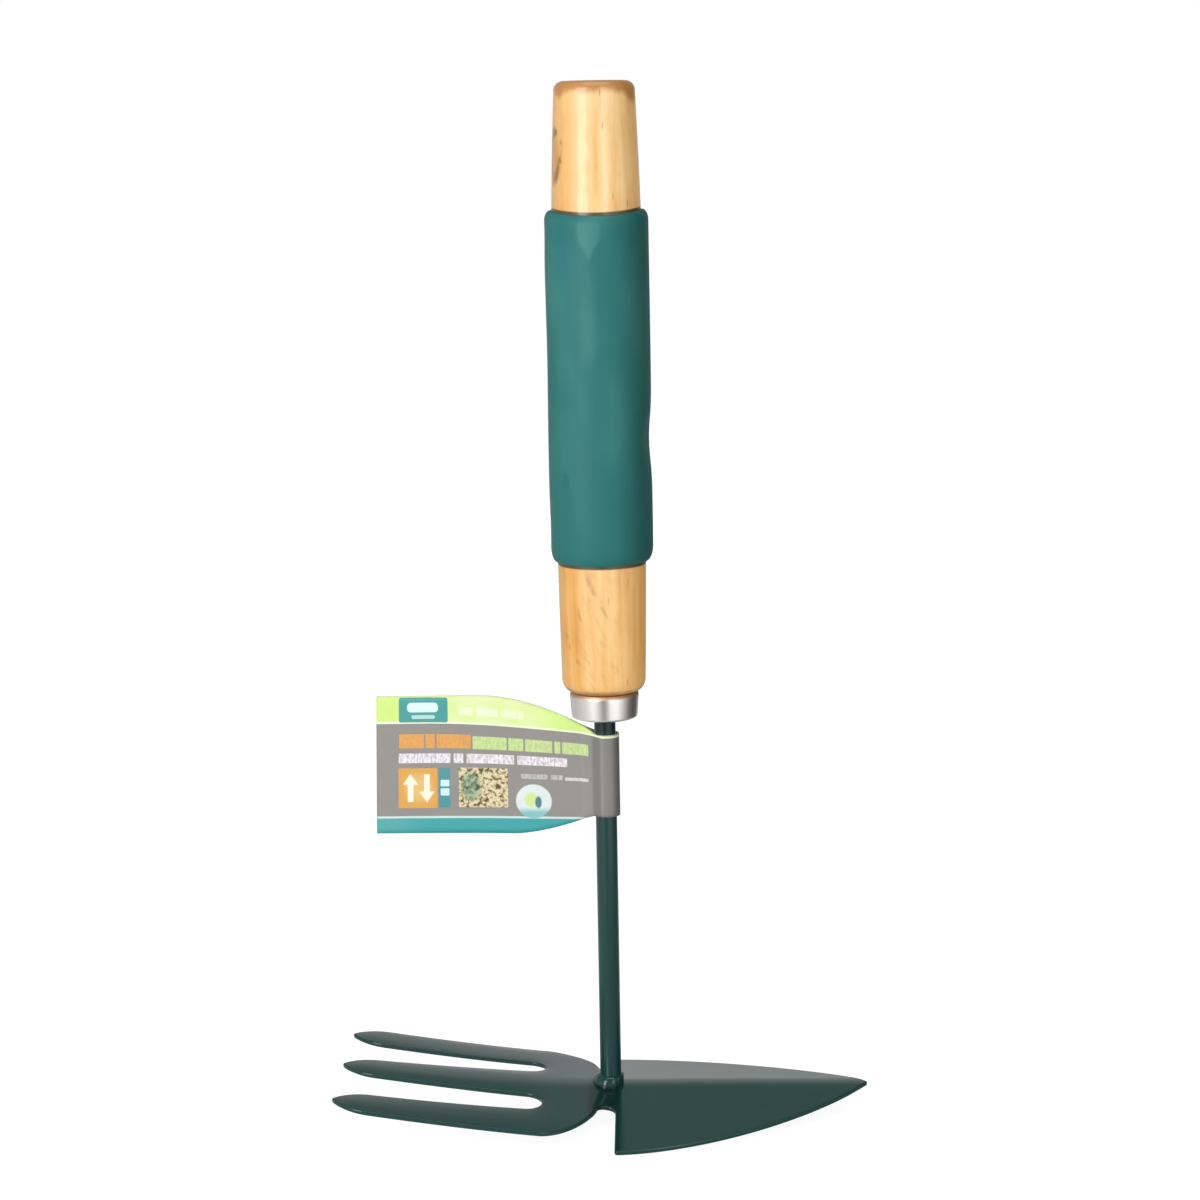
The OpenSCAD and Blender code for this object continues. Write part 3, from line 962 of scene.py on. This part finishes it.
def tagBlockGroup():
    # A printed rectangle with rounded corners, as a mask
    tree, given = newTree(
        "printedBlock", "ShaderNodeTree",
        [("Vector", "NodeSocketVector", None), ("Left", "NodeSocketFloat", 0.0),
         ("Right", "NodeSocketFloat", 1.0), ("Low", "NodeSocketFloat", 0.0),
         ("High", "NodeSocketFloat", 1.0), ("Corner", "NodeSocketFloat", 0.3)],
        [("Mask", "NodeSocketFloat")])
    u, v, _ = apart(tree, given["Vector"])
    corner = given["Corner"]

    def outside(value, a, b):
        return (value - (a + b) * 0.5).size() - (b - a).size() * 0.5 + corner
    dx = outside(u, given["Left"], given["Right"])
    dy = outside(v, given["Low"], given["High"])
    px, py = dx.math("MAXIMUM", 0.0), dy.math("MAXIMUM", 0.0)
    far = (px * px + py * py).math("SQRT") + dx.math("MAXIMUM", dy).math("MINIMUM", 0.0) - corner
    closeTree(tree, Mask=far.fall(-0.08, 0.08))
    return tree


def tagWordsGroup():
    # Breaks a printed row into plain dashes of uneven length
    tree, given = newTree(
        "rowBreaks", "ShaderNodeTree",
        [("Vector", "NodeSocketVector", None), ("Length", "NodeSocketFloat", 6.0),
         ("Gap", "NodeSocketFloat", 0.05), ("Shift", "NodeSocketFloat", 0.0)],
        [("Mask", "NodeSocketFloat")])
    u, _, _ = apart(tree, given["Vector"])
    cells = tree.nodes.new("ShaderNodeTexVoronoi")
    cells.voronoi_dimensions = "1D"
    cells.feature = "DISTANCE_TO_EDGE"
    feed(tree, cells.inputs["W"], u / given["Length"] + given["Shift"])
    cells.inputs["Scale"].default_value = 1.0
    closeTree(tree, Mask=Wire(tree, cells.outputs[0]).step(given["Gap"], given["Gap"] + 0.02))
    return tree


printedBlock = tagBlockGroup()
rowBreaks = tagWordsGroup()

# Left, right, low, high and corner in millimetres on the card, and the colour
tagPrint = (
    (58.8, 44.7, 113.2, 120.4, 0.6, srgb(72, 156, 152)),
    (56.4, 47.5, 116.1, 118.9, 1.1, srgb(218, 240, 238)),
    (55.2, 48.4, 114.2, 115.3, 0.5, srgb(176, 220, 218)),
    (59.0, 47.9, 88.3, 99.9, 0.2, srgb(222, 164, 78)),
    (47.5, 44.2, 88.4, 100.0, 0.1, srgb(80, 148, 152)),
    (47.0, 44.5, 94.6, 96.5, 0.3, srgb(206, 238, 242)),
    (47.0, 44.5, 91.9, 94.0, 0.3, srgb(206, 238, 242)),
)

# Rows that can't be read: low, high, colour, how strongly strokes break them, and their spans
tagRows = (
    (105.7, 109.8, srgb(229, 163, 80), 0.3, ((58.8, 51.6), (51.2, 48.5), (48.0, 38.2))),
    (105.6, 109.4, srgb(200, 221, 148), 0.3,
     ((37.7, 28.0), (27.5, 23.2), (22.7, 15.0), (14.4, 12.7), (12.2, 4.6))),
    (101.4, 104.2, srgb(240, 232, 238), 0.62,
     ((58.9, 44.1), (43.2, 40.4), (39.5, 25.9), (25.0, 10.8))),
    (97.2, 98.7, srgb(200, 194, 196), 0.7, ((24.0, 16.5), (15.6, 12.2))),
    (97.1, 98.1, srgb(220, 216, 214), 0.3, ((11.5, 4.7),)),
    (115.4, 117.8, srgb(236, 246, 212), 0.6, ((41.5, 37.5), (36.4, 30.2), (29.4, 23.0))),
)


def cardFinish():
    made, tree, shader, at = newFinish("printedCard", Roughness=0.38, Specular_IOR_Level=0.4)
    uv = tree.nodes.new("ShaderNodeUVMap")
    uv.uv_map = "print"
    place = stretch(tree, Wire(tree, uv.outputs[0]), 100, 100, 1)
    u, v, _ = apart(tree, place)
    front = u.fall(99.9, 100.0)

    def block(*sizes):
        names = ("Left", "Right", "Low", "High", "Corner")
        return useGroup(tree, printedBlock, Vector=place, **dict(zip(names, sizes)))

    def oval(left, high, wide, tall, low, full):
        dx, dy = (u - left) / wide, (v - high) / tall
        return (dx * dx + dy * dy).math("SQRT").fall(low, full)
    cloud = noise(tree, stretch(tree, place, 0.07, 0.1, 1), 1.0, 1.0).step(0.35, 0.65)
    lime = blended(tree, cloud, srgb(216, 237, 152), srgb(227, 240, 182))
    ends = (u - 37.0).size().step(13.0, 24.0)
    lime = blended(tree, ends * 0.85, lime, srgb(207, 238, 130))
    colour = blended(tree, v.step(113.3, 113.45), srgb(145, 142, 138), lime)
    teal = blended(tree, u.step(48.0, 62.0), srgb(62, 163, 166), srgb(84, 168, 168))
    colour = blended(tree, v.fall(85.3, 85.45), colour, teal)
    # The print is darker along the fold, and painted shade darkens the wrap, most towards the hoe's
    # side
    foldDark = u.step(0.4, 1.3) * u.fall(2.8, 4.0) * 0.3
    wrapShade = u.step(-3.4, -1.6, 0.45, 0.16) * u.fall(0.2, 0.8)
    colour = scaled(tree, colour, (foldDark + wrapShade) * -1.0 + 1.0)
    for low, high, ink in ((112.85, 113.5, srgb(238, 246, 214)),
                           (85.35, 85.95, srgb(206, 228, 220))):
        colour = blended(tree, block(300, -20, low, high, 0.05), colour, ink)
    # Plain blocks, then rows of strokes that can't be read
    for left, right, low, high, corner, ink in tagPrint:
        colour = blended(tree, block(left, right, low, high, corner) * front, colour, ink)
    letters = noise(tree, stretch(tree, place, 1.5, 0.75, 1), 1.0, 2.0, Distortion=0.4)
    strokes = letters.step(0.47, 0.56) * 0.65 + useGroup(
        tree, rowBreaks, Vector=place, Length=1.15, Gap=0.1, Shift=3.7) * -0.35 + 0.35
    for low, high, ink, broken, spans in tagRows:
        row = None
        for left, right in spans:
            word = block(left, right, low, high, 0.25)
            row = word if row is None else row.math("MAXIMUM", word)
        colour = blended(tree, row * front * (strokes * -broken + 1.0), colour, ink)
    # Two plain arrows on the orange square, with a pale glow
    glow = oval(53.2, 94.1, 5.2, 5.2, 0.35, 1.1) * block(59.0, 47.9, 88.3, 99.9, 0.2)
    colour = blended(tree, glow * front * 0.55, colour, srgb(238, 208, 142))
    for middle, up in ((55.6, 1.0), (50.9, -1.0)):
        off = (u - middle).size()
        shaft = off.fall(0.7, 0.9) * (v - 94.1 + up * 0.9).size().fall(3.0, 3.2)
        rise = (v - 94.1) * up
        cap = (rise + off * 1.5).fall(4.1, 4.35) * rise.step(0.9, 1.1)
        colour = blended(tree, shaft.math("MAXIMUM", cap) * front, colour, srgb(250, 244, 222))
    # A mottled patch of straw and leaf colours
    straw = noise(tree, stretch(tree, place, 0.8, 0.8, 1), 1.0, 3.0, Distortion=0.5)
    soil = ramp(tree, straw, ((0.34, srgb(84, 72, 44)), (0.42, srgb(150, 128, 84)),
                              (0.49, srgb(206, 192, 148)), (0.56, srgb(230, 224, 188)),
                              (0.68, srgb(190, 162, 108))))
    leaf = ramp(tree, straw, ((0.36, srgb(58, 104, 82)), (0.5, srgb(98, 142, 112)),
                              (0.64, srgb(170, 192, 160))))
    patch = oval(38.4, 94.6, 3.4, 5.0, 0.5, 1.15) * (straw * 1.6).clamp()
    colour = blended(tree, block(41.8, 27.8, 88.5, 100.1, 0.1) * front, colour,
                     blended(tree, patch, soil, leaf))
    # A plain round badge whose lower part fades into the teal
    badge = blended(tree, v.fall(86.9, 88.9), srgb(220, 230, 228), srgb(134, 192, 196))
    colour = blended(tree, oval(20.5, 90.5, 5.1, 5.1, 0.96, 1.03) * front, colour, badge)
    for left, high, wide, tall, ink in ((21.3, 90.9, 1.9, 2.3, srgb(206, 230, 148)),
                                        (19.2, 90.2, 1.0, 1.9, srgb(76, 130, 132))):
        colour = blended(tree, oval(left, high, wide, tall, 0.7, 1.15) * front, colour, ink)
    colour = scaled(tree, colour, useGroup(tree, mottle, Vector=at, Size=160.0, Amount=0.04))
    feed(tree, shader.inputs["Base Color"], colour)
    skin = useGroup(tree, fineSkin, Vector=at, Wave_Size=900.0, Pit_Size=4000.0, Pit_Depth=0.2)
    feed(tree, shader.inputs["Normal"], bumped(tree, skin, 0.15, 0.00003))
    feed(tree, shader.inputs["Roughness"], skin * 0.1 + 0.34)
    return made


def bareCardFinish():
    made, tree, shader, at = newFinish("bareCard", Roughness=0.8)
    fibres = noise(tree, at, 2600.0, 3.0)
    feed(tree, shader.inputs["Base Color"], ramp(tree, fibres, ((0.3, srgb(196, 192, 184)),
                                                               (0.7, srgb(232, 230, 224)))))
    feed(tree, shader.inputs["Normal"], bumped(tree, fibres, 0.3, 0.00004))
    return made


def tagLine():
    # The strip's middle line from above, from one end of the card round the rod to the other
    half = tag["card"] / 2 + 0.012
    ring = tag["bore"] + tag["slack"] + half
    meet = tag["meet"]
    front = [(-s, -half) for s in spread(tag["reach"], meet + 1.4, 60)]
    lean = radians(90) - atan2(sqrt(meet * meet - ring * ring), ring)
    touch = 90 + lean * 180 / pi
    arc = arcPoints((tag["shift"], 0), ring, -touch, 0, 26)
    # A short curve leads from the flat flag up to the wrap
    start, end = front[-1], arc[0]
    bendAt = (-meet, -half)
    crease = [((1 - t) ** 2 * start[0] + 2 * t * (1 - t) * bendAt[0] + t * t * end[0],
               (1 - t) ** 2 * start[1] + 2 * t * (1 - t) * bendAt[1] + t * t * end[1])
              for t in spread(0, 1, 12)[1:-1]]
    side = front + crease + arc
    return side + [(x, -y) for x, y in reversed(side[:-1])]


def tagEnds(x):
    # Lower and upper edge of the card, measured from the wrap's lower edge
    under = clamp01((-x - tag["bore"]) / (tag["lower"] - tag["bore"]))
    over = clamp01((-x - tag["rise"]) / (tag["upper"] - tag["rise"]))
    high = tag["height"] - tag["drop"]
    return (-tag["drop"] * (1 - (1 - under) ** tag["lowerPower"]),
            tag["wrap"] + (high - tag["wrap"]) * (1 - (1 - over) ** tag["upperPower"]))


def makeTag():
    line = tagLine()
    rows = 26
    base = tag["top"] - tag["wrap"]
    turn = -radians(tag["turn"])
    half = tag["card"] / 2
    verts, marks = [], []
    for side in (1, -1):
        for i, (x, y) in enumerate(line):
            ax, ay = line[max(0, i - 1)]
            bx, by = line[min(len(line) - 1, i + 1)]
            length = hypot(bx - ax, by - ay)
            nx, ny = (by - ay) / length, -(bx - ax) / length
            px, py = x + side * half * nx, y + side * half * ny
            low, high = tagEnds(x)
            for j in range(rows + 1):
                z = base + low + (high - low) * j / rows
                bow = 0.32 * sin(pi * clamp01((-x - 8) / 52)) * (0.6 + 0.5 * sin((z - base) / 9.0))
                qy = py + bow
                # The free end hangs a little and its lower corner reaches further out
                splay = tag["splay"] * clamp01((-x - 6) / 50) * ((z - base) / tag["height"] - 0.35)
                qx = px * (1 - splay)
                qz = z - tag["droop"] * clamp01((-x - 30) / 35) ** 1.5
                verts.append((qx * cos(turn) - qy * sin(turn), qx * sin(turn) + qy * cos(turn), qz))
                s = -x
                sag = tag["sag"] * clamp01((52 - s) / 52) ** 1.8 * clamp01((z - 86) / 27) ** 1.5
                along = s if y <= 0 else 200 - s
                marks.append((along / 100, (z + sag) / 100))
    count, step = len(line), rows + 1
    faces, kinds = [], []

    def quad(a, b, c, d, kind):
        faces.append((a, b, c, d))
        kinds.append(kind)
    other = count * step
    for i in range(count - 1):
        for j in range(rows):
            a = i * step + j
            quad(a, a + step, a + step + 1, a + 1, 0)
            quad(other + a, other + a + 1, other + a + step + 1, other + a + step, 1)
        for j in (0, rows):
            a = i * step + j
            ends = (a, other + a, other + a + step, a + step)
            quad(*(ends if j == 0 else ends[::-1]), 1)
    for i in (0, count - 1):
        for j in range(rows):
            a = i * step + j
            ends = (a, a + 1, other + a + 1, other + a)
            quad(*(ends if i == 0 else ends[::-1]), 1)
    mesh = bpy.data.meshes.new("hang_card")
    mesh.from_pydata([(x * mm, y * mm, z * mm) for x, y, z in verts], [], faces)
    layer = mesh.uv_layers.new(name="print")
    for loop in mesh.loops:
        layer.data[loop.index].uv = marks[loop.vertex_index]
    for material in (cardFinish(), bareCardFinish()):
        mesh.materials.append(material)
    for face, kind in zip(mesh.polygons, kinds):
        face.material_index = kind
        face.use_smooth = kind == 0
    made = newObject("hang_card", mesh)
    faceOut(made)
    finishPiece(made, "tag", "printed_card", "hang_tag")
    made.visible_glossy = False  # its bright edge would show as a stripe in the ferrule


makeTag()


# Floor, surroundings, lamps and camera

studio = {
    "ambient": 0.4, "floorGlow": 0.93, "floorColour": 0.2,
    "view": (0.0184012, -0.7497693, 0.279535),
    "tilt": 80.05887, "roll": 0.97893, "turn": 1.29221, "lens": 82.1463,
}


def bandsGroup():
    # Brightness of the room around the tool by direction, as polished metal shows it
    tree, given = newTree(
        "roomBands", "ShaderNodeTree", [("Direction", "NodeSocketVector", None)],
        [("Level", "NodeSocketFloat")])
    x, y, _ = apart(tree, given["Direction"])
    angle = x.math("ARCTAN2", y * -1.0) * (180 / pi)
    place = (angle + 180.0) / 360.0
    # Angle from the hoe's side and brightness there
    stops = ((-180, 0.56), (-140, 0.52), (-111, 0.53), (-84, 0.62), (-62, 0.74), (-39, 1.1),
             (-28, 0.97), (-17, 0.66), (-3, 0.28), (5, 0.36), (12, 0.6), (22, 1.1), (44, 1.18),
             (57, 0.86), (73, 0.48), (92, 0.17), (113, 0.08), (135, 0.11), (158, 0.4), (180, 0.56))
    shade = ramp(tree, place, [((a + 180) / 360, (v, v, v, 1)) for a, v in stops])
    closeTree(tree, Level=shade)
    return tree


roomBands = bandsGroup()


def rays(tree):
    # Masks for what the camera sees, straight or through glass, and for what is mirrored
    light = tree.nodes.new("ShaderNodeLightPath")
    camera, glass, glossy = (Wire(tree, light.outputs["Is %s Ray" % kind])
                             for kind in ("Camera", "Transmission", "Glossy"))
    return camera.math("MAXIMUM", glass), glossy


def makeFloor():
    mesh = bpy.data.meshes.new("studio_floor")
    shape = bmesh.new()
    bmesh.ops.create_circle(shape, cap_ends=True, radius=4.0, segments=96)
    shape.to_mesh(mesh)
    shape.free()
    made = newObject("studio_floor", mesh)
    finish = bpy.data.materials.new("paleFloor")
    finish.use_nodes = True
    tree = finish.node_tree
    tree.nodes.clear()
    place = node(tree, "ShaderNodeNewGeometry")
    x, y, _ = apart(tree, place)
    far = (x * x + y * y).math("SQRT")
    # Close by, the floor mirrors more evenly than the room does
    near = x / far * -0.16 + 0.5
    share = far.step(0.17, 0.38)
    level = near * (share * -1.0 + 1.0) + useGroup(tree, roomBands, Direction=place) * share
    seen, glossy = rays(tree)
    glow = seen * studio["floorGlow"] + glossy * level
    emit = node(tree, "ShaderNodeEmission", Color=(1, 1, 1, 1), Strength=glow)
    albedo = seen * (studio["floorColour"] - 0.8) - glossy * 0.8 + 0.8
    matte = node(tree, "ShaderNodeBsdfDiffuse", Color=together(tree, albedo, albedo, albedo))
    total = tree.nodes.new("ShaderNodeAddShader")
    feed(tree, total.inputs[0], emit)
    feed(tree, total.inputs[1], matte)
    out = tree.nodes.new("ShaderNodeOutputMaterial")
    tree.links.new(total.outputs[0], out.inputs["Surface"])
    mesh.materials.append(finish)


def makeRoom():
    world = bpy.data.worlds.new("paleRoom")
    world.use_nodes = True
    tree = world.node_tree
    tree.nodes.clear()
    sky = node(tree, "ShaderNodeTexCoord")  # the direction, as the world has no surface
    height = apart(tree, sky)[2]
    level = useGroup(tree, roomBands, Direction=sky) * height.step(0.32, 0.54, 1.0, 0.6)
    level = level * height.step(0.0, 0.13, 1.3, 1.0)
    seen, glossy = rays(tree)
    rest = (seen + glossy) * -1.0 + 1.0
    strength = seen + glossy * level + rest.math("MAXIMUM", 0.0) * studio["ambient"]
    back = node(tree, "ShaderNodeBackground", Color=(1, 1, 1, 1), Strength=strength)
    out = tree.nodes.new("ShaderNodeOutputWorld")
    tree.links.new(back.socket, out.inputs["Surface"])
    scene.world = world


lamps = (
    # name, place and aim in metres, width, height, watts, whether it is mirrored
    ("leftSoftbox", (-0.62, -0.95, 0.48), (0, 0, 0.16), 0.5, 0.95, 8.8, True),
    ("rightSoftbox", (0.5, -1.0, 0.45), (0, 0, 0.16), 0.22, 0.8, 1.3, True),
    ("topSoftbox", (0.05, -0.15, 1.25), (0, 0, 0.1), 0.8, 0.6, 3.0, True),
    ("backFill", (0.1, 1.05, 0.4), (0, 0, 0.16), 0.9, 0.7, 3.5, False),
)


def makeLamps():
    for name, place, aim, wide, tall, watts, mirrored in lamps:
        light = bpy.data.lights.new(name, "AREA")
        light.shape = "RECTANGLE"
        light.size, light.size_y, light.energy = wide, tall, watts
        lamp = newObject(name, light)
        lamp.location = place
        lamp.visible_glossy = mirrored
        lamp.rotation_euler = (Vector(aim) - Vector(place)).to_track_quat("-Z", "Y").to_euler()


def makeCamera():
    lens = bpy.data.cameras.new("camera")
    lens.lens, lens.sensor_width = studio["lens"], 36.0
    camera = newObject("camera", lens)
    camera.location = studio["view"]
    camera.rotation_euler = Euler([radians(studio[k]) for k in ("tilt", "roll", "turn")])
    scene.camera = camera


makeFloor()
makeRoom()
makeLamps()
makeCamera()

scene.view_settings.view_transform = "Standard"
